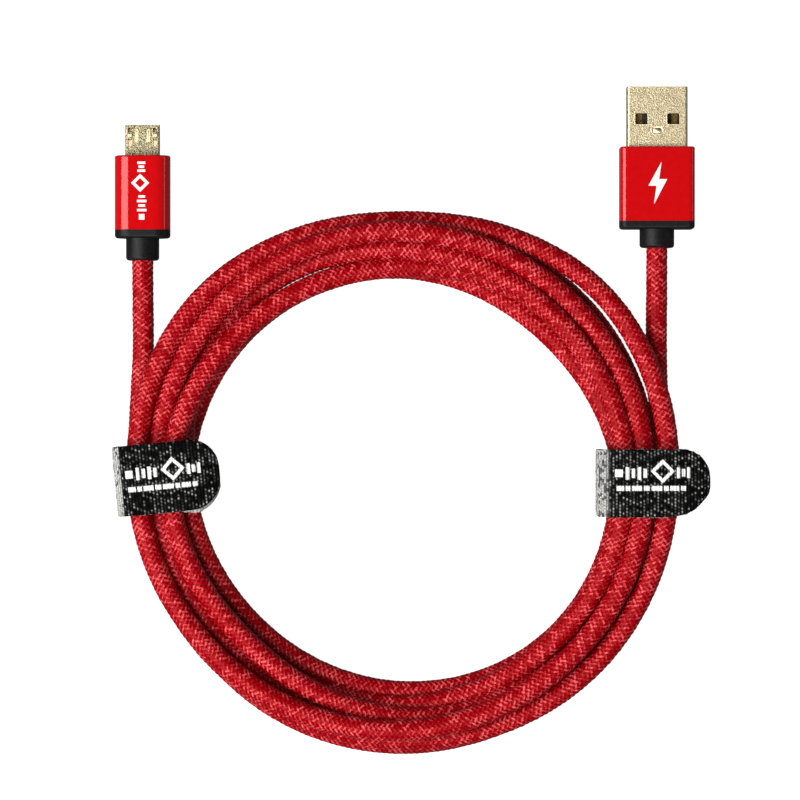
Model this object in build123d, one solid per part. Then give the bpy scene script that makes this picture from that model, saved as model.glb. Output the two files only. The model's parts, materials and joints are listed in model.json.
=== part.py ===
from build123d import *
import math
import os

# Micro-USB charging cable, stored as a coil.
# A braided cord with a USB-A plug at one end and a micro-B plug at the other, wound into a flat round coil
# that two hook-and-loop ties hold, one at each side. The cable lies on a table.
# Frame: millimetres. +Z up, z = 0 the table. +Y towards the plugs' tips, +X towards the USB-A plug.
# The origin is the middle of the bounding box's underside.

# ---- Driving dimensions -----------------------------------------------------------------------------

CORD_D = 4.2                      # over the braid
CORD_R = CORD_D / 2
WIRE_R = 0.45                     # one insulated conductor

# The coil: its middle on the table, and its inner and outer radius every 30 degrees from +X
COIL_X, COIL_Y = -1.44, -12.35
COIL_TOP = 13.4                   # three layers of cord over a tie's underside
COIL_EDGE = 4.2                   # rounding of the bundle's edges
COIL_RADII = [
    (40.7, 54.4), (39.3, 55.9), (38.7, 55.7), (40.3, 53.8), (40.7, 55.5), (40.5, 56.3),
    (40.3, 54.9), (38.5, 53.8), (38.2, 53.6), (39.1, 53.75), (40.1, 54.0), (40.9, 54.6),
]

# Hook-and-loop ties
STRAP = 1.1                       # thickness of the wrapped strap
LINING = 0.4                      # loop lining under the peeling tab
TAB = STRAP - LINING
TAB_GAP = 0.15                    # between the strap and the tab that lies on it
NECK_EDGE = 2.5                   # rounding of the squeezed bundle
TAB_FLAT = 2.5                    # the tab is flat from its fold to here, then droops
TAB_BEND = 26.0                   # radius of that droop
FOLD_X = -4.45                    # where the tab starts to peel, from the tie's middle
# name: middle x and y, width of the bundle inside, width of the strap, tilt in degrees, reach of the tab
TIES = {
    "left": (-48.8, -11.2, 14.2, 13.8, 5.5, 11.5),
    "right": (46.1, -12.3, 14.0, 13.3, 0.0, 12.8),
}

# USB-A plug, along Y, from the sleeve's front face
A_AT = (48.9, 54.2, 3.6)
A_SHELL = (12.0, 4.5, 0.3)        # width, height, wall
A_SHELL_OUT, A_SHELL_IN = 11.9, 7.0
A_SLEEVE = (14.8, 7.2, 14.7)      # width, height, length
A_SLEEVE_EDGE = 1.3
A_COLLAR = 1.6
A_RELIEF = (6.9, 3.7)             # diameter, length
A_WINDOW = (2.5, 2.2, 3.16, 5.5)  # width, length, distance from the axis, middle ahead of the sleeve
A_CONTACT_X = (-3.5, -1.0, 1.0, 3.5)

# Micro-B plug, along Y, from the sleeve's front face
B_AT = (-53.1, 52.5, 3.4)
B_SHELL = (6.85, 1.85, 0.25)
B_SHELL_FOOT = 5.3                # width of the shell's narrow side
B_SHELL_SIDE = 1.0                # height of its upright sides
B_SHELL_OUT, B_SHELL_IN = 6.1, 5.0
B_SLEEVE = (11.0, 6.8, 14.7)
B_SLEEVE_EDGE = 3.0
B_COLLAR = 1.7
B_RELIEF = (6.6, 4.4)
B_LATCH_X = 2.5
B_LATCH_W = 0.75
B_LATCH_ROOT = -4.4               # hinge line of the latch springs
B_CONTACT_PITCH = 0.65

SLEEVE_WALL = 0.8
SLEEVE_FRONT = 1.0
BOOT_DEPTH = 1.7                  # how far a boot plugs into its sleeve
FIT = 0.05                        # gap between parts that slide together
WIRE_COLOURS = ("red", "white", "green", "black")

# Route of each free end of the cord, from its plug to the inside of the coil
A_ROUTE = [(48.9, 41.2, 3.6), (48.9, 27.5, 3.6), (48.8, 15.5, 3.4), (49.0, 4.0, 3.35)]
B_ROUTE = [(-53.1, 39.5, 3.4), (-53.1, 25.5, 3.4), (-52.9, 14.0, 3.3), (-53.6, 3.0, 3.35)]


# ---- Helpers ----------------------------------------------------------------------------------------

def bar(width, height, front, back, edge=0.0):
    """A bar along Y between two distances, centred on the axis, with its long edges rounded."""
    solid = Pos(0, (front + back) / 2, 0) * Box(width, front - back, height)
    return fillet(solid.edges().filter_by(Axis.Y), edge) if edge else solid


def rod(radius, front, back, x=0.0, z=0.0):
    """A round rod along Y between two distances."""
    return Pos(x, (front + back) / 2, z) * Rot(90, 0, 0) * Cylinder(radius, front - back)


def round_ends(solid, y, radius):
    """Rounds the outer edges of the flat end that lies at a distance along Y."""
    edges = solid.edges().filter_by(lambda e: abs(e.center().Y - y) < 1e-4 and abs(e.bounding_box().size.Y) < 1e-4)
    return fillet(edges, radius)


def corner_radii(points):
    """Arc radius at each corner of a route: as large as its two runs allow."""
    radii = []
    for before, here, after in zip(points, points[1:], points[2:]):
        run_in = Vector(*here) - Vector(*before)
        run_out = Vector(*after) - Vector(*here)
        half_turn = math.radians(run_in.get_angle(run_out)) / 2
        radii.append(0.45 * min(run_in.length, run_out.length) / math.tan(half_turn))
    return radii


def tube(points, radius):
    """A round tube along straight runs joined by tangent arcs. Returns the solid, its length and its radii."""
    radii = corner_radii(points)
    path = FilletPolyline(*points, radius=radii)
    section = Plane(origin=path @ 0, z_dir=path % 0) * Circle(radius)
    return sweep(section, path=path), path.length, radii


# ---- Cord -------------------------------------------------------------------------------------------

def coil_outline(side):
    """The coil's inner (0) or outer (1) edge seen from above."""
    points = []
    for number, radii in enumerate(COIL_RADII):
        angle = math.radians(30 * number)
        points.append((COIL_X + radii[side] * math.cos(angle), COIL_Y + radii[side] * math.sin(angle)))
    return make_face(Spline(*points, periodic=True))


def neck(name):
    """The squeezed bundle inside a tie: a straight prism a little longer than the strap is wide."""
    x, y, bundle, strap, tilt, _ = TIES[name]
    length = strap + 1.0
    height = COIL_TOP - STRAP
    prism = fillet(Box(bundle, length, height).edges().filter_by(Axis.Y), NECK_EDGE)
    space = Box(bundle + 8, length, COIL_TOP + 4)
    place = Pos(x, y, STRAP + height / 2) * Rot(0, 0, tilt)
    return place * space, place * prism


def make_coil():
    outline = coil_outline(1) - coil_outline(0)
    coil = extrude(outline, COIL_TOP)
    rims = coil.edges().filter_by(lambda e: e.bounding_box().size.Z < 1e-4)
    coil = fillet(rims, COIL_EDGE)
    for name in TIES:
        space, prism = neck(name)
        coil -= space - prism
    return coil


def make_tail(points, coil):
    """A free end of the cord, cut off where it goes in among the coil's turns."""
    solid, length, radii = tube(points, CORD_R)
    expected = math.pi * CORD_R ** 2 * length
    print(f"tail: length {length:.2f}, volume {solid.volume:.1f} of {expected:.1f}, radii",
          [round(r) for r in radii])
    outside = solid - coil
    return max(outside.solids(), key=lambda s: s.bounding_box().max.Y)


# ---- Plugs ------------------------------------------------------------------------------------------

def make_sleeve(size, edge, opening):
    """An aluminium sleeve: open at the back, with a front wall that the shell comes through."""
    width, height, length = size
    sleeve = bar(width, height, 0, -length, edge)
    sleeve = round_ends(sleeve, 0, 0.35)
    sleeve -= bar(width - 2 * SLEEVE_WALL, height - 2 * SLEEVE_WALL, -SLEEVE_FRONT, -length, edge - SLEEVE_WALL)
    return sleeve - opening


def make_boot(size, edge, collar, relief):
    """A moulded boot: a plug that sits in the sleeve, a collar behind it and a strain relief."""
    width, height, length = size
    back = -length - collar
    rear = bar(width, height, -length, back, edge)
    rear = round_ends(rear, back, 0.6)
    inset = 2 * (SLEEVE_WALL + FIT)
    plug = bar(width - inset, height - inset, -length + BOOT_DEPTH, -length, edge - SLEEVE_WALL)
    end = back - relief[1]
    nose = round_ends(rod(relief[0] / 2, back, end), end, 0.6)
    return rear + plug + nose - rod(CORD_R, 0, end)


def make_mould(size, edge, shell_block, inserts):
    """The moulding inside a sleeve, round the back of the shell and the wires."""
    width, height, length = size
    inset = 2 * (SLEEVE_WALL + FIT)
    mould = bar(width - inset, height - inset, -SLEEVE_FRONT - FIT, -length + BOOT_DEPTH, edge - SLEEVE_WALL)
    mould -= shell_block
    for insert in inserts:
        mould -= insert
    return max(mould.solids(), key=lambda s: s.volume)


def make_wires(starts, ends, back, front):
    """Conductors from the cord's end to the contacts' tails, as pairs of (x, z) at each end."""
    wires = []
    for (x0, z0), (x1, z1) in zip(starts, ends):
        run = front - back
        points = [(x0, back, z0), (x0, back + 0.25 * run, z0), (x1, back + 0.75 * run, z1), (x1, front, z1)]
        wires.append(tube(points, WIRE_R)[0])
    return wires


def usb_a_plug():
    """The USB-A plug's nodes, along Y with the sleeve's front at 0."""
    width, height, wall = A_SHELL
    tip, back = A_SHELL_OUT, -A_SHELL_IN
    outer = bar(width, height, tip, back, 0.5)
    shell = outer - bar(width - 2 * wall, height - 2 * wall, tip, back, 0.25)
    window_w, window_l, window_x, window_y = A_WINDOW
    for x in (-window_x, window_x):
        shell -= Pos(x, window_y, 0) * Box(window_w, window_l, height + 1)
    dimple = SlotOverall(2.2, 1.4)
    shell -= Pos(0, 3.2, height / 2 - 0.12) * extrude(dimple, 1)

    floor_w = width - 2 * wall - 2 * FIT
    floor_top = -0.05
    floor_low = -height / 2 + wall + FIT
    tongue = Pos(0, (tip - 0.5 + back) / 2, (floor_top + floor_low) / 2) * Box(
        floor_w, tip - 0.5 - back, floor_top - floor_low)
    block_h = height - 2 * wall - 2 * FIT
    tongue += Pos(0, (1.0 + back) / 2, 0) * Box(floor_w, 1.0 - back, block_h)
    tongue &= bar(floor_w, block_h, tip, back, 0.3)
    contacts = []
    for x in A_CONTACT_X:
        front = tip - 1.2 if abs(x) > 2 else tip - 2.2
        rear = back - 1.6
        contacts.append(Pos(x, (front + rear) / 2, floor_top) * Box(1.1, front - rear, 0.2))
    for contact in contacts:
        tongue -= contact

    cord_end = -A_SLEEVE[2] + BOOT_DEPTH
    starts = [(-0.7, 0.7), (-0.7, -0.7), (0.7, -0.7), (0.7, 0.7)]
    ends = [(x, floor_top + 0.1 + WIRE_R) for x in A_CONTACT_X]
    wires = make_wires(starts, ends, cord_end, back - 0.4)
    opening = bar(width + 2 * FIT, height + 2 * FIT, 1, -2, 0.5)
    nodes = {
        "usb_a_shell": shell,
        "usb_a_tongue": tongue,
        "usb_a_contacts": Compound(children=contacts),
        "usb_a_sleeve": make_sleeve(A_SLEEVE, A_SLEEVE_EDGE, opening),
        "usb_a_boot": make_boot(A_SLEEVE, A_SLEEVE_EDGE, A_COLLAR, A_RELIEF),
        "usb_a_inner_mould": make_mould(A_SLEEVE, A_SLEEVE_EDGE, outer, [*wires, *contacts]),
    }
    for colour, wire in zip(WIRE_COLOURS, wires):
        nodes[f"usb_a_wire_{colour}"] = wire
    return nodes


def micro_shell_profile(inset):
    """Section of the micro-B shell: a wide flat side up and a narrower side down."""
    width, height, _ = B_SHELL
    top = height / 2 - inset
    half = width / 2 - inset
    foot = B_SHELL_FOOT / 2 - inset * 0.6
    side = height / 2 - B_SHELL_SIDE
    outline = Polyline((-half, top), (half, top), (half, side), (foot, -top), (-foot, -top), (-half, side),
                       close=True)
    return fillet(make_face(outline).vertices(), 0.3 - 0.6 * inset)


def micro_bar(inset, front, back):
    return extrude(Plane(origin=(0, front, 0), x_dir=(1, 0, 0), z_dir=(0, -1, 0)) * micro_shell_profile(inset),
                   front - back)


def make_latch(x):
    """A latch spring: a thin arm under the shell's wide side, with a hook that comes up through a slot."""
    top = 0.56
    outline = Polyline(
        (B_LATCH_ROOT, top - 0.2), (5.3, top - 0.2), (5.3, top + 0.05), (4.6, 1.15), (4.2, 1.26), (3.7, 1.2),
        (3.3, 0.95), (3.0, top), (B_LATCH_ROOT, top), close=True)
    side = Plane(origin=(x - B_LATCH_W / 2, 0, 0), x_dir=(0, 1, 0), z_dir=(1, 0, 0))
    return extrude(side * make_face(outline), B_LATCH_W)


def micro_b_plug():
    """The micro-B plug's nodes, along Y with the sleeve's front at 0."""
    width, height, wall = B_SHELL
    tip, back = B_SHELL_OUT, -B_SHELL_IN
    outer = micro_bar(0, tip, back)
    shell = outer - micro_bar(wall, tip, back)
    for side in (-1, 1):
        shell -= Pos(side * B_LATCH_X, tip - 2.45, height / 2) * Box(B_LATCH_W + 0.2, 3.8, 1)
        shell -= Pos(side * 1.15, tip - 2.2, height / 2) * Box(0.5, 2.6, 1)

    tongue = Pos(0, (tip - 0.6 + back) / 2, -0.425) * Box(3.9, tip - 0.6 - back, 0.45)
    tongue += Pos(0, (1.2 + back) / 2, -0.025) * Box(3.9, 1.2 - back, 1.25)
    contacts = []
    for number in range(5):
        x = (number - 2) * B_CONTACT_PITCH
        contacts.append(Pos(x, (tip - 1.4 + back - 1.6) / 2, -0.2) * Box(0.35, tip - 1.4 - back + 1.6, 0.15))
    for contact in contacts:
        tongue -= contact

    cord_end = -B_SLEEVE[2] + BOOT_DEPTH
    above, below = -0.125 + WIRE_R, -0.275 - WIRE_R
    starts = [(-0.7, 0.7), (-0.7, -0.7), (0.7, -0.7), (0.7, 0.7)]
    ends = [(-2 * B_CONTACT_PITCH, above), (-B_CONTACT_PITCH, below), (0.0, above), (2 * B_CONTACT_PITCH, above)]
    wires = make_wires(starts, ends, cord_end, back - 0.4)
    opening = micro_bar(-FIT, 1, -2)
    nodes = {
        "micro_b_shell": shell,
        "micro_b_tongue": tongue,
        "micro_b_contacts": Compound(children=contacts),
        "micro_b_latch_left": make_latch(-B_LATCH_X),
        "micro_b_latch_right": make_latch(B_LATCH_X),
        "micro_b_sleeve": make_sleeve(B_SLEEVE, B_SLEEVE_EDGE, opening),
        "micro_b_boot": make_boot(B_SLEEVE, B_SLEEVE_EDGE, B_COLLAR, B_RELIEF),
        "micro_b_inner_mould": make_mould(B_SLEEVE, B_SLEEVE_EDGE, outer, [*wires, *contacts]),
    }
    for colour, wire in zip(WIRE_COLOURS, wires):
        nodes[f"micro_b_wire_{colour}"] = wire
    return nodes


# ---- Ties -------------------------------------------------------------------------------------------

def loop_face(bundle, out):
    """Section of the strap's loop: the squeezed bundle's outline, grown outwards. x across, z up."""
    height = COIL_TOP - STRAP
    face = RectangleRounded(bundle + 2 * out, height + 2 * out, NECK_EDGE + out)
    return Plane(origin=(0, 0, STRAP + height / 2), x_dir=(1, 0, 0), z_dir=(0, -1, 0)) * face


def strap_solid(face, width):
    return Pos(0, width / 2, 0) * extrude(face, width)


def tab_layer(lift, thick, width, reach):
    """One layer of the tab, at a height over the tab's underside: flat, then drooping, with a rounded end."""
    drop = math.asin((reach - TAB_FLAT) / TAB_BEND)
    centre = COIL_TOP + STRAP + TAB_GAP - TAB_BEND
    edges = []
    for radius in (TAB_BEND + lift, TAB_BEND + lift + thick):
        level = centre + radius
        middle = (TAB_FLAT + radius * math.sin(drop / 2), centre + radius * math.cos(drop / 2))
        end = (TAB_FLAT + radius * math.sin(drop), centre + radius * math.cos(drop))
        edges.append((level, middle, end))
    (z0, mid0, end0), (z1, mid1, end1) = edges
    outline = [
        Line((FOLD_X, z0), (TAB_FLAT, z0)), ThreePointArc((TAB_FLAT, z0), mid0, end0), Line(end0, end1),
        ThreePointArc(end1, mid1, (TAB_FLAT, z1)), Line((TAB_FLAT, z1), (FOLD_X, z1)),
        Line((FOLD_X, z1), (FOLD_X, z0)),
    ]
    upright = Plane(origin=(0, 0, 0), x_dir=(1, 0, 0), z_dir=(0, -1, 0))
    layer = strap_solid(upright * make_face(outline), width)
    plan = Pos((FOLD_X - 6 + reach) / 2, 0, 0) * RectangleRounded(reach - FOLD_X + 6, width, 5.5)
    return layer & extrude(plan, 30)


def make_tie(name):
    """A tie's strap, its peeling tab and the tab's loop lining."""
    x, y, bundle, width, tilt, reach = TIES[name]
    strap = strap_solid(loop_face(bundle, STRAP) - loop_face(bundle, 0), width)
    grown = STRAP + TAB_GAP
    outer = strap_solid(loop_face(bundle, grown + STRAP) - loop_face(bundle, STRAP), width)
    outer &= Pos(FOLD_X - 10, 0, 9.5) * Box(20, width, 15)
    strap += outer
    tab = tab_layer(LINING, TAB, width, reach)
    lining = tab_layer(0, LINING, width, reach - 0.1)
    place = Pos(x, y, 0) * Rot(0, 0, tilt)
    return {
        f"tie_{name}_strap": place * strap,
        f"tie_{name}_tab": place * tab,
        f"tie_{name}_loop_lining": place * lining,
    }


# ---- Assembly ---------------------------------------------------------------------------------------

def make_nodes():
    coil = make_coil()
    nodes = {"cord_coil": coil}
    nodes["cord_tail_usb_a"] = make_tail(A_ROUTE, coil)
    nodes["cord_tail_micro_b"] = make_tail(B_ROUTE, coil)
    for at, plug in ((A_AT, usb_a_plug()), (B_AT, micro_b_plug())):
        for name, solid in plug.items():
            nodes[name] = Pos(*at) * solid
    for name in TIES:
        nodes.update(make_tie(name))
    return nodes


os.makedirs("parts", exist_ok=True)
for node, shape in make_nodes().items():
    export_step(shape, f"parts/{node}.step")
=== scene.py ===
import json
import math
import bpy
import numpy as np
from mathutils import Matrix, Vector


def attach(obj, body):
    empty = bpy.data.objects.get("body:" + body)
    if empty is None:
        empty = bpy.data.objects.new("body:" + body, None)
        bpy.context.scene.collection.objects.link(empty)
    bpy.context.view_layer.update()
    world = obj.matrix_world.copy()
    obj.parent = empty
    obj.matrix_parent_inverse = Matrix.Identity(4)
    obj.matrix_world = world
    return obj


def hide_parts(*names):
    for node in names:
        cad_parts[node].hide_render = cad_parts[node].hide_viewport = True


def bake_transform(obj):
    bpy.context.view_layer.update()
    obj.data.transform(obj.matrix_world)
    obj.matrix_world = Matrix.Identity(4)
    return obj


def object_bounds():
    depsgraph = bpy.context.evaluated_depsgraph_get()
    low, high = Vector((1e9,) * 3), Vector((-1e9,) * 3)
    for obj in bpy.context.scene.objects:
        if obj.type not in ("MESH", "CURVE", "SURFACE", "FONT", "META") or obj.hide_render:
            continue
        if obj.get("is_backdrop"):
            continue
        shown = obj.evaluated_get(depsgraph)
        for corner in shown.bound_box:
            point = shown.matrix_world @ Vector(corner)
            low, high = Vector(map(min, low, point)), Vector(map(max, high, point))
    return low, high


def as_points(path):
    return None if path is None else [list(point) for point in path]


# Micro-USB charging cable, stored as a coil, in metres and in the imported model's frame.

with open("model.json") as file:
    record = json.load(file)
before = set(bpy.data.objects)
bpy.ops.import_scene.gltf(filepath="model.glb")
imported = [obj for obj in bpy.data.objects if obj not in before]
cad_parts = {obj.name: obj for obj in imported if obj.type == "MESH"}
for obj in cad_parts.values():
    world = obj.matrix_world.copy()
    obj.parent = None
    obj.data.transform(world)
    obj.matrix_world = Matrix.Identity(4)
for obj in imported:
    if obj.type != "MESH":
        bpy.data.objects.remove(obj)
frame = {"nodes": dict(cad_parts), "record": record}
cad_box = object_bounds()
nodes = frame["nodes"]
MM = 0.001

# ---- Sizes, in millimetres --------------------------------------------------------------------------

CORD_D = 4.2
RING_X, RING_Y = -1.44, -12.35       # the coil's middle
POINTS_PER_TURN = 16
STITCH = 1.03                        # braid stitches, along the cord
COLUMNS = 16                         # columns of stitches round the cord
RELIEF = 0.34                        # depth of the braid
CROWN = 0.08                         # how far its highest stitches stand out past the cord's nominal surface
YARN_FLOOR = 0.25                    # lowest height between the yarns, as a share of the braid's depth
YARN_FALL = 2.2                      # how fast the painted shade darkens a yarn from its top to its sides
BRAID_SEED = 3
GLINT_FROM = 0.5                     # lightness above which a yarn turns towards the colour of its painted highlight

# Route of each free end, from its plug to the inside of the coil
USB_A_ROUTE = [(48.9, 41.2, 3.6), (48.9, 27.5, 3.6), (48.8, 15.5, 3.4), (49.0, 4.0, 3.35)]
MICRO_B_ROUTE = [(-53.1, 39.5, 3.4), (-53.1, 25.5, 3.4), (-52.9, 14.0, 3.3), (-53.6, 3.0, 3.35)]

# The coil's half turns in the order that the cord takes them, clockwise from the right-hand tie.
# Each is the place in the tie that it leaves, then three places an eighth of a turn apart:
# distance from the coil's middle, and height over the table.
HALF_TURNS = [
    [(52.4, 3.3), (51.4, 2.2), (51.9, 2.2), (51.0, 2.2)],       # bottom 1
    [(48.0, 3.3), (51.8, 3.2), (50.4, 2.2), (50.0, 2.2)],       # top 1
    [(48.4, 7.0), (47.5, 6.0), (46.4, 7.9), (43.6, 7.9)],       # bottom 2
    [(46.2, 11.2), (43.6, 8.3), (42.6, 6.1), (45.2, 4.6)],      # top 2
    [(42.9, 7.0), (43.0, 2.2), (41.5, 2.2), (40.8, 2.2)],       # bottom 3
    [(43.0, 7.2), (47.6, 4.6), (46.2, 8.2), (44.3, 8.8)],       # top 3
    [(44.0, 11.0), (43.1, 6.8), (44.2, 4.7), (44.5, 2.2)],      # bottom 4
    [(43.6, 3.2), (43.4, 2.2), (42.6, 2.2), (41.0, 2.6)],       # top 4
    [(44.0, 3.3), (47.2, 2.2), (47.6, 2.2), (47.2, 5.6)],       # bottom 5
    [(48.6, 8.4), (50.1, 8.8), (49.7, 11.1), (48.5, 7.2)],      # top 5
    [(47.8, 11.1), (47.4, 10.0), (48.6, 11.2), (50.0, 10.2)],   # bottom 6
    [(52.4, 10.4), (54.2, 7.8), (51.3, 6.9), (54.6, 6.3)],      # top 6
    [(52.2, 10.6), (52.1, 7.2), (50.7, 6.3), (50.7, 6.3)],      # bottom 7
]
LAST_PLACE = (51.8, 4.0)             # in the left-hand tie

# Hook-and-loop ties: middle x and y, width of the bundle inside, width of the strap, tilt in degrees,
# and how far the tongue reaches
TIES = {
    "left": (-48.8, -11.2, 14.2, 13.8, 5.5, 11.5),
    "right": (46.1, -12.3, 14.0, 13.3, 0.0, 12.8),
}
STRAP, LINING, TAB = 1.1, 0.4, 0.7   # thicknesses: the strap, the loop lining, and the tongue over it
TAB_GAP = 0.15                       # between the strap's two layers
TAB_FLAT, TAB_BEND = 2.5, 26.0       # where the tongue starts to droop, and the radius that it droops on
TONGUE_EDGE = 5.5                    # rounding of the tongue's end
FOLD_X = -4.45                       # where the tongue peels from
NECK_EDGE = 2.5                      # rounding of the loop's inner corners
BUNDLE_TOP = 13.4                    # height of the strands inside a tie
TAB_TOP = BUNDLE_TOP + 2 * STRAP + TAB_GAP
RIB, RIB_STITCH = 0.68, 0.62         # the strap's ribs, and the stitches along each
WEAVE_RELIEF = 0.2
ACROSS, UNDER = 92, 8                # points across a strap, on its outer and its inner surface
STEPS_PER_RIB = 6
EDGE_FROM, RAGGED_FROM = 0.96, 0.93  # shares of its half width where an edge rounds off, and turns ragged
EDGE_ROUNDING = 0.25

# Where each strap's left end, bending down towards the key light, takes a painted highlight, how soft that
# border is, how much of it is lit, and where its plain mark sits
STRAP_LOOKS = {"left": (-7.95, 0.2, 0.95, 0.0, 0.0), "right": (-7.4, 1.0, 0.8, 0.9, 0.8)}
SEEDS = {"left": 5, "right": 8}
LINING_SLIP = {"left": -0.6, "right": 0.0}     # how far the lining lies past the tongue's edge, along y
TONGUE_TAPER = {"left": 0.1, "right": 0.3}     # how much the tongue's lower side runs in
TONGUE_FROM, SLIP_RUN, TAPER_RUN = 3, 3, 9     # where the slip and the taper start, and over what length

# The plain mark: a diamond outline between upright bars, over a row of dashes, as middle x and y and size
MARK_DIAMOND = (2.4, 1.6, 2.3)
MARK_STROKE = 0.8
MARK_MITRE = 1.3                     # how much further in a stroke reaches at the diamond's corners
MARK_BARS = [(-6.2, 1.2, 1.4, 1.4), (-4.5, 1.2, 0.6, 2.4), (-3.35, 1.2, 0.6, 1.7), (-2.2, 1.2, 0.6, 2.4),
             (-1.05, 1.2, 0.6, 1.7), (5.5, 1.3, 0.6, 2.0), (6.5, 1.3, 0.6, 1.4), (7.5, 1.3, 0.6, 2.0)]
MARK_DASHES = [(-5.9, -1.75, 1.4, 0.85), (-4.4, -1.75, 0.8, 0.85), (-2.65, -1.75, 1.9, 0.85),
               (-0.7, -1.75, 1.1, 0.85), (1.25, -1.75, 2.0, 0.85), (3.1, -1.75, 0.8, 0.85),
               (4.75, -1.75, 1.7, 0.85), (6.5, -1.75, 0.9, 0.85)]

# Each plug: the middle of its sleeve's front, how far its sleeve and its shell reach above that,
# and how far its mark lies behind it
USB_A_AT, MICRO_B_AT = (48.9, 54.2, 3.6), (-53.1, 52.5, 3.4)
SLEEVE_A_TOP, SLEEVE_B_TOP = 3.6, 3.4
USB_A_SHELL_TOP, MICRO_B_SHELL_TOP = 2.25, 0.925
USB_A_MARK_BACK, MICRO_B_MARK_BACK = 7.25, 7.4

# Openings of the shells, from the same point: x and y, size, and for a slot how much it swells
WINDOW_X, WINDOW_Y, WINDOW_SIZE = 3.16, 5.5, (2.5, 2.2)
DIMPLE_Y, DIMPLE_SIZE, DIMPLE_RISE = 3.2, (2.2, 1.4), 0.16
MICRO_SLOTS = [("latch_slot", 2.5, 3.65, (0.95, 3.8), 0.0), ("narrow_slot", 1.15, 3.9, (0.5, 2.6), 0.12)]
RIM_DEPTH = 0.12
MARK_THICK = 0.03
UPRIGHT_SCALE, UPRIGHT_MIDDLE = 0.78, 1.2      # of the mark on the micro-B sleeve
BOLT = [(0.75, 4.2), (-1.85, -0.55), (-0.25, -0.55), (-0.75, -4.2), (1.85, 0.75), (0.25, 0.75)]


# ---- The cord's route -------------------------------------------------------------------------------

def coil_points():
    """Control points of the coil's turns, clockwise, from the right-hand tie to the left-hand one."""
    places = np.array([place for half in HALF_TURNS for place in half] + [LAST_PLACE])
    padded = np.vstack([places[:1], places, places[-1:]])
    between = (-padded[:-3] + 9 * padded[1:-2] + 9 * padded[2:-1] - padded[3:]) / 16
    lanes = np.empty((2 * len(places) - 1, 2))
    lanes[0::2] = places
    lanes[1::2] = between
    step = 2 * math.pi / POINTS_PER_TURN
    outside = 1 / (0.75 + 0.25 * math.cos(step))   # the smooth line runs this much inside its points
    points = []
    for number, (radius, height) in enumerate(lanes):
        angle = -number * step
        reach = radius * outside
        height = max(height, CORD_D / 2 + 0.1)
        points.append((RING_X + reach * math.cos(angle), RING_Y + reach * math.sin(angle), height))
    return points


def route_line():
    """The cord's centreline, as close points read from the route's NURBS spline."""
    points = USB_A_ROUTE + coil_points() + MICRO_B_ROUTE[::-1]
    data = bpy.data.curves.new("cord_route", "CURVE")
    data.dimensions = "3D"
    data.resolution_u = 24
    spline = data.splines.new("NURBS")
    spline.points.add(len(points) - 1)
    for point, place in zip(spline.points, points):
        point.co = (*(value * MM for value in place), 1)
    spline.order_u = 3
    spline.use_endpoint_u = True
    route = bpy.data.objects.new("cord_route", data)
    bpy.context.scene.collection.objects.link(route)
    bpy.context.view_layer.update()
    mesh = bpy.data.meshes.new_from_object(route)
    line = np.array([v.co for v in mesh.vertices])
    bpy.data.meshes.remove(mesh)
    bpy.data.objects.remove(route)
    return line


def even_points(line, spacing):
    """Points along a line at an even spacing."""
    lengths = np.concatenate([[0], np.cumsum(np.linalg.norm(np.diff(line, axis=0), axis=1))])
    count = int(round(lengths[-1] / spacing)) + 1
    at = np.linspace(0, lengths[-1], count)
    return np.stack([np.interp(at, lengths, values) for values in line.T], axis=1)


def carried_frames(line):
    """Two directions across a line, carried along it without twist."""
    tangent = np.gradient(line, axis=0)
    tangent /= np.linalg.norm(tangent, axis=1)[:, None]
    first = np.empty_like(line)
    first[0] = np.cross(tangent[0], (1, 0, 0))
    first[0] /= np.linalg.norm(first[0])
    for i in range(1, len(line)):
        side = first[i - 1] - tangent[i] * (first[i - 1] @ tangent[i])
        first[i] = side / np.linalg.norm(side)
    return first, np.cross(tangent, first)


# ---- Meshes -----------------------------------------------------------------------------------------

def new_mesh(name, vertices, faces, material=None, smooth=True):
    mesh = bpy.data.meshes.new(name)
    mesh.from_pydata(vertices, [], faces)
    mesh.update()
    mesh.polygons.foreach_set("use_smooth", [smooth] * len(mesh.polygons))
    if material:
        mesh.materials.append(material)
    piece = bpy.data.objects.new(name, mesh)
    bpy.context.scene.collection.objects.link(piece)
    return piece


def grid_faces(rows, columns):
    """Faces between rows of points, each row closed into a ring."""
    row, column = np.meshgrid(np.arange(rows - 1), np.arange(columns), indexing="ij")
    after = (column + 1) % columns
    here, above = row * columns, (row + 1) * columns
    return np.stack([here + column, here + after, above + after, above + column], axis=-1).reshape(-1, 4)


# ---- Braid ------------------------------------------------------------------------------------------

def braid_height(along, around):
    """Height from 0 to 1 of the braid at a number of stitches along it and of columns round it.
    Yarns of one direction float over the even columns, and of the other over the odd ones."""
    chances = np.random.default_rng(BRAID_SEED).random((4000, COLUMNS))
    heights = []
    for lean, first in ((1, 0), (-1, 1)):
        off = (around - first + 1) % 2 - 1
        place = along - 0.5 * lean * off + 0.5 * first
        across = place % 1 - 0.5
        column = ((around - first + 1) // 2).astype(int) % COLUMNS
        chance = chances[np.floor(place).astype(int) + 1, column]
        body = np.clip(1 - (np.abs(across) / 0.52) ** 2, 0, 1) ** 0.7
        float_over = np.clip(1 - np.abs(off) ** 2.4, 0, 1) ** 0.6
        heights.append(body * (0.25 + 0.75 * float_over) * (0.75 + 0.25 * chance) * (np.abs(off) < 1.0))
    return np.maximum(YARN_FLOOR, np.maximum(*heights))


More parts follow.
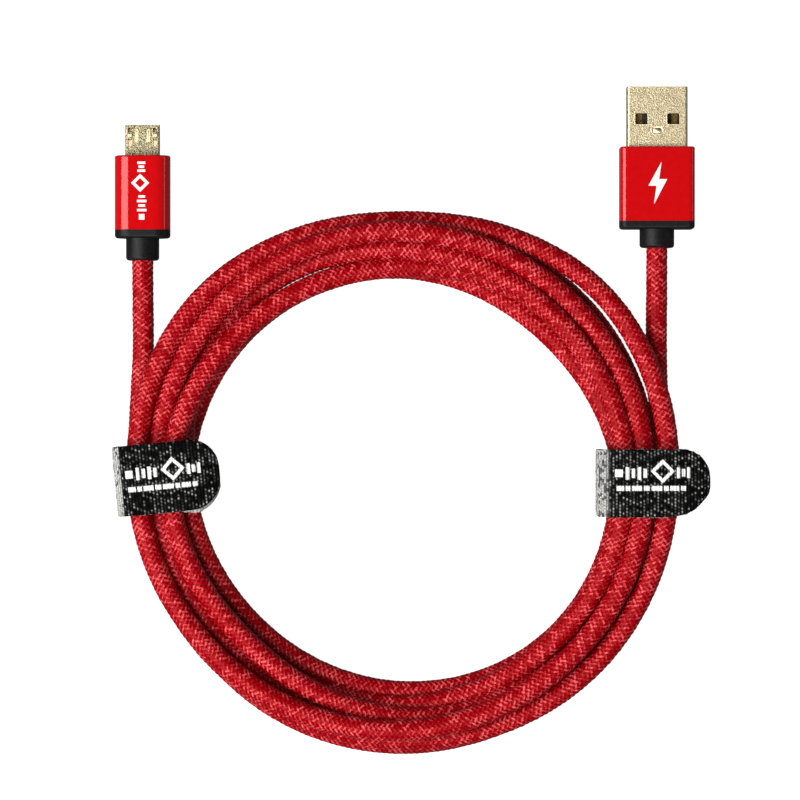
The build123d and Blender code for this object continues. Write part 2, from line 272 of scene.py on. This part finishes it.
def make_cord(line, material):
    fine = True
    spacing = STITCH * MM / (4 if fine else 2)
    around = COLUMNS * (4 if fine else 2)
    path = even_points(line, spacing)
    first, second = carried_frames(path)
    angle = np.arange(around) * 2 * math.pi / around
    along = np.arange(len(path))[:, None] * spacing / (STITCH * MM)
    height = braid_height(along, np.arange(around)[None, :] * COLUMNS / around)
    radius = (CORD_D / 2 + CROWN - RELIEF * (1 - height)) * MM
    across = first[:, None] * np.cos(angle)[None, :, None] + second[:, None] * np.sin(angle)[None, :, None]
    skin = path[:, None] + across * radius[:, :, None]
    faces = grid_faces(len(path), around).tolist()
    piece = new_mesh("cord", skin.reshape(-1, 3).tolist(), faces, material)
    # the yarn attribute carries painted shade, darker down the yarns' sides and between them, and a painted
    # highlight on their tops
    shade = piece.data.attributes.new("yarn", "FLOAT", "POINT")
    shade.data.foreach_set("value", (height ** YARN_FALL).ravel().astype(np.float32))
    return piece, path


# ---- Materials --------------------------------------------------------------------------------------

ROUGHNESS_SPREAD = 0.06


def noise_value(tree, size, low=0.0, high=1.0, detail=4):
    """Noise of a size in millimetres, spread from low to high."""
    place = tree.nodes.new("ShaderNodeTexCoord")
    noise = tree.nodes.new("ShaderNodeTexNoise")
    noise.inputs["Scale"].default_value = 1 / (size * MM)
    noise.inputs["Detail"].default_value = detail
    spread = tree.nodes.new("ShaderNodeMapRange")
    spread.inputs["From Min"].default_value = 0.3
    spread.inputs["From Max"].default_value = 0.7
    spread.inputs["To Min"].default_value = low
    spread.inputs["To Max"].default_value = high
    tree.links.new(place.outputs["Object"], noise.inputs["Vector"])
    tree.links.new(noise.outputs["Fac"], spread.inputs["Value"])
    return spread.outputs["Result"]


def make_material(name, dark, light, size, roughness, bump=0.1, attribute=None, spread=0.3, glint=None,
                  **sockets):
    """A material that varies between two colours, by noise alone or by a mesh attribute and noise,
    with a third colour, a painted highlight, where the attribute is highest if there is one. size is the
    noise's, in mm."""
    material = bpy.data.materials.new(name)
    material.use_nodes = True
    tree = material.node_tree
    shader = tree.nodes["Principled BSDF"]
    for socket, value in sockets.items():
        shader.inputs[socket.replace("_", " ")].default_value = value
    factor = noise_value(tree, size)
    if attribute:
        reader = tree.nodes.new("ShaderNodeAttribute")
        reader.attribute_name = attribute
        product = tree.nodes.new("ShaderNodeMath")
        product.operation = "MULTIPLY"
        product.use_clamp = True
        tree.links.new(reader.outputs["Fac"], product.inputs[0])
        tree.links.new(noise_value(tree, size, 1 - spread, 1 + spread / 2), product.inputs[1])
        factor = product.outputs["Value"]
    ramp = tree.nodes.new("ShaderNodeValToRGB")
    stops = ramp.color_ramp.elements
    stops[0].color, stops[1].color = (*dark, 1), (*light, 1)
    if glint:
        stops[1].position = GLINT_FROM
        stops.new(1.0).color = (*glint, 1)
    tree.links.new(factor, ramp.inputs["Fac"])
    tree.links.new(ramp.outputs["Color"], shader.inputs["Base Color"])
    gloss = noise_value(tree, size * 2, roughness - ROUGHNESS_SPREAD, roughness + ROUGHNESS_SPREAD)
    tree.links.new(gloss, shader.inputs["Roughness"])
    relief = tree.nodes.new("ShaderNodeBump")
    relief.inputs["Strength"].default_value = bump
    relief.inputs["Distance"].default_value = size * MM / 2
    tree.links.new(noise_value(tree, size), relief.inputs["Height"])
    tree.links.new(relief.outputs["Normal"], shader.inputs["Normal"])
    return material


# Dark red for the painted shade between the yarns and down their sides, red for their tops, and pink for a
# painted highlight on the highest of them
red_braid = make_material("red_braid", (0.05, 0.0, 0.0), (0.35, 0.0, 0.004), 0.3, 0.33, bump=0.3,
                          attribute="yarn", spread=0.4, glint=(0.96, 0.17, 0.18), Specular_IOR_Level=0.22,
                          Specular_Tint=(1, 0.3, 0.3, 1))
webbing = make_material("strap_weave", (0.001, 0.001, 0.001), (0.86, 0.86, 0.83), 0.22, 0.8, bump=0.4,
                        attribute="light", spread=0.8, Specular_IOR_Level=0.03)
loop_pile = make_material("loop_pile", (0.12, 0.12, 0.11), (0.6, 0.6, 0.57), 0.3, 0.9, bump=1.0,
                          attribute="light")
white_ink = make_material("white_ink", (0.78, 0.76, 0.77), (0.88, 0.87, 0.87), 0.6, 0.5, bump=0.05)
pressed_gold = make_material("pressed_gold", (0.80, 0.58, 0.30), (0.92, 0.76, 0.48), 0.5, 0.33, bump=0.05,
                             Metallic=1.0)
# A darker copy of the shell's gold, with a coarser grain of its own: its darker colour is painted shade
# against the stronger key light on the micro-B shell
micro_shell_gold_painted_shade = make_material("micro_shell_gold_painted_shade", (0.08, 0.07, 0.036), (0.48, 0.42, 0.27), 0.28, 0.42,
                                 bump=0.5, Metallic=1.0)
SLOT_MATERIALS = {
    "gold_shell": make_material("gold_shell", (0.34, 0.27, 0.15), (0.82, 0.71, 0.48), 0.22, 0.42, bump=0.35,
                                Metallic=1.0),
    "gold_contact": make_material("gold_contact", (0.3, 0.2, 0.07), (0.45, 0.3, 0.11), 0.4, 0.3,
                                  Metallic=1.0),
    "red_aluminium": make_material("red_aluminium", (0.44, 0.0, 0.001), (0.50, 0.0, 0.002), 1.2, 0.45,
                                   bump=0.01, Specular_IOR_Level=0.0, Coat_Weight=1.0, Coat_IOR=1.42,
                                   Coat_Roughness=0.04),
    "black_boot": make_material("black_boot", (0.003, 0.003, 0.003), (0.008, 0.008, 0.008), 0.3, 0.42,
                                bump=0.15, Specular_IOR_Level=0.15),
    "black_insulator": make_material("black_insulator", (0.01, 0.01, 0.01), (0.02, 0.02, 0.02), 0.5, 0.4),
    "white_mould": make_material("white_mould", (0.6, 0.6, 0.58), (0.75, 0.75, 0.72), 0.8, 0.5),
    "wire_red": make_material("wire_red", (0.4, 0.01, 0.01), (0.5, 0.02, 0.02), 0.5, 0.45),
    "wire_white": make_material("wire_white", (0.7, 0.7, 0.68), (0.8, 0.8, 0.78), 0.5, 0.45),
    "wire_green": make_material("wire_green", (0.01, 0.2, 0.03), (0.02, 0.28, 0.05), 0.5, 0.45),
    "wire_black": make_material("wire_black", (0.01, 0.01, 0.01), (0.025, 0.025, 0.025), 0.5, 0.45),
}


# ---- Ties -------------------------------------------------------------------------------------------

def arc(centre, radius, start, end):
    """Points of an arc, from one angle to another in degrees."""
    angles = np.radians(np.linspace(start, end, 16))
    return [(centre[0] + radius * math.cos(a), centre[1] + radius * math.sin(a)) for a in angles]


def loop_line(bundle):
    """Outer surface of a tie's loop, as x and z, once round from the middle of its underside."""
    edge = NECK_EDGE + STRAP
    side = bundle / 2 - NECK_EDGE
    low, high = edge, BUNDLE_TOP + STRAP - edge
    left = arc((-side, low), edge, 270, 180) + arc((-side, high), edge, 180, 90)
    right = arc((side, high), edge, 90, 0) + arc((side, low), edge, 0, -90)
    return [(0, 0)] + left + right + [(0, 0)]


def droop_line(start, top, radius, reach):
    """A line that runs level to the tongue's flat part and then droops to its end."""
    end = 90 - math.degrees(math.asin((reach - TAB_FLAT) / radius))
    return start + arc((TAB_FLAT, top - radius), radius, 90, end)


def outer_line(bundle, reach):
    """Outer surface of the strap's free end: up the left side, over the fold and along the tongue."""
    edge = NECK_EDGE + 2 * STRAP + TAB_GAP
    centre = (NECK_EDGE - bundle / 2, BUNDLE_TOP - NECK_EDGE)
    start = [(centre[0] - edge, 2.0)] + arc(centre, edge, 180, 90)
    return droop_line(start, TAB_TOP, TAB_BEND + STRAP, reach)


def lining_line(reach):
    """Upper surface of the loop lining under the tongue."""
    top = TAB_TOP - TAB
    return droop_line([(FOLD_X + 0.1, top)], top, TAB_BEND + LINING, reach)


def tongue_half_width(x, width, reach):
    """Half the strap's width where the tongue's end rounds off."""
    past = np.clip(x - reach + TONGUE_EDGE, 0, TONGUE_EDGE)
    return width / 2 - TONGUE_EDGE + np.sqrt(TONGUE_EDGE ** 2 - past ** 2)


def weave_height(along, across):
    """Height from 0 to 1 of ribs that run across the strap, each a row of short stitches."""
    rib = np.abs(np.sin(math.pi * along / RIB)) ** 0.7
    shift = 0.5 * (np.floor(along / RIB) % 2)
    stitch = np.abs(np.sin(math.pi * (across / RIB_STITCH + shift))) ** 0.5
    return rib * (0.45 + 0.55 * stitch)


def stitch_chance(along, across, seed):
    """A random number from 0 to 1 for each stitch."""
    numbers = np.random.default_rng(seed).random((400, 80))
    rib = np.floor(along / RIB).astype(int)
    stitch = np.floor(across / RIB_STITCH + 0.5 * (rib % 2)).astype(int) + 40
    return numbers[rib, stitch]


def inside_bar(x, y, bar):
    middle_x, middle_y, width, height = bar
    past = np.maximum(np.abs(x - middle_x) - width / 2, np.abs(y - middle_y) - height / 2)
    return np.clip(0.5 - past / 0.15, 0, 1)


def ink(x, y):
    """White ink of the plain mark, from 0 to 1."""
    middle_x, middle_y, half = MARK_DIAMOND
    from_line = np.abs(np.abs(x - middle_x) + np.abs(y - middle_y) - half + MARK_STROKE / 2)
    amount = np.clip(0.5 - (from_line - MARK_STROKE / 2) / 0.15, 0, 1)
    for bar in MARK_BARS + MARK_DASHES:
        amount = np.maximum(amount, inside_bar(x, y, bar))
    return amount


def plain_weave(x, y, height, chance):
    """Lightness of the black weave, with painted shade in its hollows and a painted highlight on a few
    stitches.
    """
    glint = np.clip((chance - 0.3) / 0.7, 0, 1)
    return 0.03 * chance * height ** 2 + 0.8 * glint ** 2 * height ** 9


def printed_weave(tie):
    edge_x, fade, cover, mark_x, mark_y = STRAP_LOOKS[tie]

    def lightness(x, y, height, chance):
        # painted highlight on the stitches where the strap's left end bends down towards the key light
        bend_highlight = np.clip((edge_x - x) / fade + 0.5, 0, 1)
        bend_highlight = bend_highlight * np.clip((chance - 1 + cover) / 0.3, 0.15, 0.7) * height ** 0.6
        marked = ink(x - mark_x, y - mark_y) * (1.6 + 0.4 * height)
        return np.maximum(plain_weave(x, y, height, chance), np.maximum(bend_highlight, marked))

    return lightness


def fuzzy_lining(x, y, height, chance):
    return 0.25 + 0.5 * chance


def make_strip(name, tie, line, width_at, thickness_at, lightness, material, slip=0.0, ragged=0.0):
    """A woven strip whose outer surface follows a line, given as x and z seen from the strap's edge.
    slip shifts its tongue along y, and ragged is how far the stitches at its edges stand out."""
    x0, y0, _, _, tilt, _ = TIES[tie]
    path = even_points(np.array(line), RIB / STEPS_PER_RIB)
    direction = np.gradient(path, axis=0)
    direction /= np.linalg.norm(direction, axis=1)[:, None]
    outward = np.stack([-direction[:, 1], direction[:, 0]], axis=1)
    along = (np.arange(len(path)) * RIB / STEPS_PER_RIB)[:, None]
    half = width_at(path[:, 0])[:, None]
    share = np.linspace(1, -1, ACROSS)[None, :]
    taper = TONGUE_TAPER[tie] * np.clip((path[:, :1] - TONGUE_FROM) / TAPER_RUN, 0, 1) ** 2
    across = half * share * (1 - taper * (share < 0))
    height = weave_height(along, across)
    chance = stitch_chance(along + 0 * across, across, SEEDS[tie])
    rounding = EDGE_ROUNDING * np.clip((np.abs(share) - EDGE_FROM) / (1 - EDGE_FROM), 0, 1) ** 2
    depth = WEAVE_RELIEF * (1 - height) + rounding
    under = np.linspace(-1, 1, UNDER)[None, :]
    depth = np.hstack([depth, np.repeat(thickness_at(path[:, 0])[:, None], UNDER, axis=1)])
    local_x = path[:, :1] - outward[:, :1] * depth
    slip = slip * np.clip((path[:, :1] - TONGUE_FROM) / SLIP_RUN, 0, 1)
    edge_y = across + slip + ragged * (chance - 0.5) * np.sign(share) * (np.abs(share) > RAGGED_FROM)
    local_y = np.hstack([edge_y, half * under * (1 - taper * (under < 0)) + slip])
    local_z = path[:, 1:] - outward[:, 1:] * depth
    turn = math.radians(tilt)
    x = x0 + local_x * math.cos(turn) - local_y * math.sin(turn)
    y = y0 + local_x * math.sin(turn) + local_y * math.cos(turn)
    vertices = np.stack([x, y, local_z], axis=-1).reshape(-1, 3) * MM
    rows, ring = local_x.shape
    faces = grid_faces(rows, ring).tolist()
    if line[0] != line[-1]:
        faces += [list(range(ring))[::-1], list(range((rows - 1) * ring, rows * ring))]
    piece = new_mesh(name, vertices.tolist(), faces, material)
    shade = np.full((rows, ring), 0.2)
    shade[:, :ACROSS] = lightness(local_x[:, :ACROSS], across, height, chance)
    data = piece.data.attributes.new("light", "FLOAT", "POINT")
    data.data.foreach_set("value", shade.ravel().astype(np.float32))
    return piece


def make_tie(tie, weave, lining_material):
    x, y, bundle, width, tilt, reach = TIES[tie]

    def strap_thickness(at):
        return np.interp(at, (FOLD_X - 0.4, FOLD_X + 0.4), (STRAP, TAB))

    loop = make_strip(f"tie_{tie}_loop", tie, loop_line(bundle), lambda at: 0 * at + width / 2 - 0.6,
                      lambda at: 0 * at + STRAP, plain_weave, weave)
    strap = make_strip(f"tie_{tie}_free_end", tie, outer_line(bundle, reach),
                       lambda at: tongue_half_width(at, width, reach), strap_thickness,
                       printed_weave(tie), weave)
    lining = make_strip(f"tie_{tie}_lining", tie, lining_line(reach - 0.1),
                        lambda at: tongue_half_width(at, width, reach), lambda at: 0 * at + LINING,
                        fuzzy_lining, lining_material, slip=LINING_SLIP[tie], ragged=0.35)
    turn = math.radians(tilt)
    ends = [((x + at * math.cos(turn)) * MM, (y + at * math.sin(turn)) * MM, TAB_TOP * MM)
            for at in (FOLD_X - 1.0, FOLD_X + 1.0)]
    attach(loop, "cable")
    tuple(ends[0])
    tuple(ends[1])
    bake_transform(strap)
    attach(lining, f"tab_{tie}")
    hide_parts(f"tie_{tie}_strap")
    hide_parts(f"tie_{tie}_tab")
    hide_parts(f"tie_{tie}_loop_lining")


# ---- Rims and plain marks on the plugs --------------------------------------------------------------

def round_rectangle(size, edge):
    """Outline of a rectangle with rounded corners, round its middle."""
    x, y = size[0] / 2 - edge, size[1] / 2 - edge
    corners = ((x, y, 0), (-x, y, 90), (-x, -y, 180), (x, -y, 270))
    return np.array([point for cx, cy, turn in corners for point in arc((cx, cy), edge, turn, turn + 90)])


def make_rim(name, middle, size, edge, width, material, dome=0.0):
    """A pressed edge round an opening of a shell: a bevel that leads from the flat into the opening.
    With a dome, the opening is a dimple, closed by a small swelling."""
    outline = round_rectangle(size, edge)
    inner = round_rectangle((size[0] - width, size[1] - width), max(edge - width / 2, 0.05))
    outer = round_rectangle((size[0] + width, size[1] + width), edge + width / 2)
    rings = [(outer, 0.005), (outline * 0.5 + outer * 0.5, 0.03), (outline, 0.01), (inner, -RIM_DEPTH)]
    if dome:
        shares = np.linspace(0.9, 0.02, 8)
        rings += [(inner * share, dome * (1 - share ** 2) - RIM_DEPTH) for share in shares]
    count = len(outline)
    vertices = [((middle[0] + x) * MM, (middle[1] + y) * MM, (middle[2] + lift) * MM)
                for ring, lift in rings for x, y in ring]
    faces = [face[::-1] for face in grid_faces(len(rings), count).tolist()]
    piece = new_mesh(name, vertices, faces, material)
    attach(piece, "cable")


def bar_outline(bar):
    middle_x, middle_y, width, height = bar
    corners = ((-1, -1), (1, -1), (1, 1), (-1, 1))
    return [(middle_x + i * width / 2, middle_y + j * height / 2) for i, j in corners]


def diamond_outlines():
    """The diamond's four strokes."""
    middle_x, middle_y, half = MARK_DIAMOND
    outer = [(middle_x + half, middle_y), (middle_x, middle_y + half),
             (middle_x - half, middle_y), (middle_x, middle_y - half)]
    kept = 1 - MARK_STROKE / half * MARK_MITRE
    inner = [(middle_x + (px - middle_x) * kept, middle_y + (py - middle_y) * kept) for px, py in outer]
    return [[outer[i], outer[(i + 1) % 4], inner[(i + 1) % 4], inner[i]] for i in range(4)]


def make_mark(name, outlines, middle, material):
    """Thin flat shapes on a sleeve's upper face."""
    vertices, faces = [], []
    for outline in outlines:
        base, count = len(vertices), len(outline)
        for lift in (0, MARK_THICK):
            vertices += [((middle[0] + px) * MM, (middle[1] + py) * MM, (middle[2] + lift) * MM)
                         for px, py in outline]
        faces.append([base + i for i in range(count)][::-1])
        faces.append([base + count + i for i in range(count)])
        for i in range(count):
            after = (i + 1) % count
            faces.append([base + i, base + after, base + count + after, base + count + i])
    piece = new_mesh(name, vertices, faces, material, smooth=False)
    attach(piece, "cable")


# ---- Camera, floor and light ------------------------------------------------------------------------

VIEW_WIDTH = 158.1                   # what the frame takes in at the coil's height, in millimetres
VIEW_X, VIEW_Y, VIEW_Z = -2.04, 4.05, 7.0
CAMERA_UP = 900.0


def make_camera():
    data = bpy.data.cameras.new("camera")
    data.sensor_width = 36
    data.lens = 36 * CAMERA_UP / VIEW_WIDTH
    data.clip_start, data.clip_end = 0.01, 10
    camera = bpy.data.objects.new("camera", data)
    camera.location = (VIEW_X * MM, VIEW_Y * MM, (VIEW_Z + CAMERA_UP) * MM)
    bpy.context.scene.collection.objects.link(camera)
    bpy.context.scene.camera = camera


def area_light(name, azimuth, height, distance, size, radiance):
    """A soft panel that faces the coil, from a bearing and a height over the table in degrees."""
    data = bpy.data.lights.new(name, "AREA")
    data.shape = "RECTANGLE"
    data.size, data.size_y = size
    data.energy = radiance * math.pi * size[0] * size[1]
    light = bpy.data.objects.new(name, data)
    a, h = math.radians(azimuth), math.radians(height)
    away = Vector((math.cos(h) * math.cos(a), math.cos(h) * math.sin(a), math.sin(h)))
    light.location = away * distance
    light.rotation_euler = away.to_track_quat("Z", "Y").to_euler()
    bpy.context.scene.collection.objects.link(light)


def make_world():
    """Dim light from all round, on a white background."""
    world = bpy.data.worlds.new("studio")
    world.use_nodes = True
    tree = world.node_tree
    dim = tree.nodes["Background"]
    dim.inputs["Strength"].default_value = 0.15
    dim.inputs["Color"].default_value = (1, 1, 1, 1)
    white = tree.nodes.new("ShaderNodeBackground")
    white.inputs["Color"].default_value = (1, 1, 1, 1)
    rays = tree.nodes.new("ShaderNodeLightPath")
    pick = tree.nodes.new("ShaderNodeMixShader")
    tree.links.new(rays.outputs["Is Camera Ray"], pick.inputs["Fac"])
    tree.links.new(dim.outputs["Background"], pick.inputs[1])
    tree.links.new(white.outputs["Background"], pick.inputs[2])
    tree.links.new(pick.outputs["Shader"], tree.nodes["World Output"].inputs["Surface"])
    bpy.context.scene.world = world


def make_studio():
    bpy.context.scene.view_settings.view_transform = "Standard"
    make_world()
    area_light("key", 190, 50, 1.2, (1.0, 1.1), 6.5)
    area_light("front", 262, 60, 1.2, (0.9, 0.5), 5.0)
    area_light("fill", 10, 12, 1.2, (0.8, 0.2), 1.5)
    paper = make_material("paper", (0.26, 0.26, 0.26), (0.3, 0.3, 0.3), 8.0, 0.9, bump=0.0,
                          Emission_Color=(1, 1, 1, 1), Emission_Strength=0.96)
    floor = new_mesh("floor", [(-3, -3, 0), (3, -3, 0), (3, 3, 0), (-3, 3, 0)], [(0, 1, 2, 3)], paper)
    floor.visible_diffuse = False        # the bright floor is seen, and lights or mirrors in nothing
    floor.visible_glossy = False
    floor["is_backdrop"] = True


make_camera()
make_studio()

# ---- The cord ---------------------------------------------------------------------------------------

cord, cord_path = make_cord(route_line(), red_braid)
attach(cord, "cable")
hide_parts("cord_coil", "cord_tail_usb_a", "cord_tail_micro_b")
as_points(cord_path[::8])

# ---- The ties, the marks and the plugs' materials ---------------------------------------------------

for tie_name in TIES:
    make_tie(tie_name, webbing, loop_pile)

shell_top = USB_A_AT[2] + USB_A_SHELL_TOP
for side, offset in (("left", -WINDOW_X), ("right", WINDOW_X)):
    middle = (USB_A_AT[0] + offset, USB_A_AT[1] + WINDOW_Y, shell_top)
    make_rim(f"window_rim_{side}", middle, WINDOW_SIZE, 0.3, 0.16, pressed_gold)
dimple_at = (USB_A_AT[0], USB_A_AT[1] + DIMPLE_Y, shell_top)
make_rim("dimple", dimple_at, DIMPLE_SIZE, 0.7, 0.3, pressed_gold, dome=DIMPLE_RISE)
shell_top = MICRO_B_AT[2] + MICRO_B_SHELL_TOP
for name, offset, y, size, dome in MICRO_SLOTS:
    for side, sign in (("left", -1), ("right", 1)):
        middle = (MICRO_B_AT[0] + sign * offset, MICRO_B_AT[1] + y, shell_top)
        make_rim(f"{name}_rim_{side}", middle, size, size[0] * 0.45, 0.12, pressed_gold, dome)

bolt_at = (USB_A_AT[0], USB_A_AT[1] - USB_A_MARK_BACK, USB_A_AT[2] + SLEEVE_A_TOP)
make_mark("bolt_mark", [BOLT], bolt_at, white_ink)
upright = [[(UPRIGHT_SCALE * (UPRIGHT_MIDDLE - py), UPRIGHT_SCALE * px) for px, py in outline]
           for outline in [bar_outline(bar) for bar in MARK_BARS] + diamond_outlines()]
bars_at = (MICRO_B_AT[0], MICRO_B_AT[1] - MICRO_B_MARK_BACK, MICRO_B_AT[2] + SLEEVE_B_TOP)
make_mark("bars_mark", upright, bars_at, white_ink)

for part in frame["record"]["subparts"]:
    node = nodes[part["node"]]
    if part["material_slot"] in SLOT_MATERIALS:
        node.data.materials.clear()
        node.data.materials.append(SLOT_MATERIALS[part["material_slot"]])
# the micro-B shell takes the darker copy of the gold, painted shade
nodes["micro_b_shell"].data.materials[0] = micro_shell_gold_painted_shade

visual_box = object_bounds()
boxes = {"cad": cad_box, "visual": visual_box}
{name: [list(corner) for corner in box] for name, box in boxes.items()}
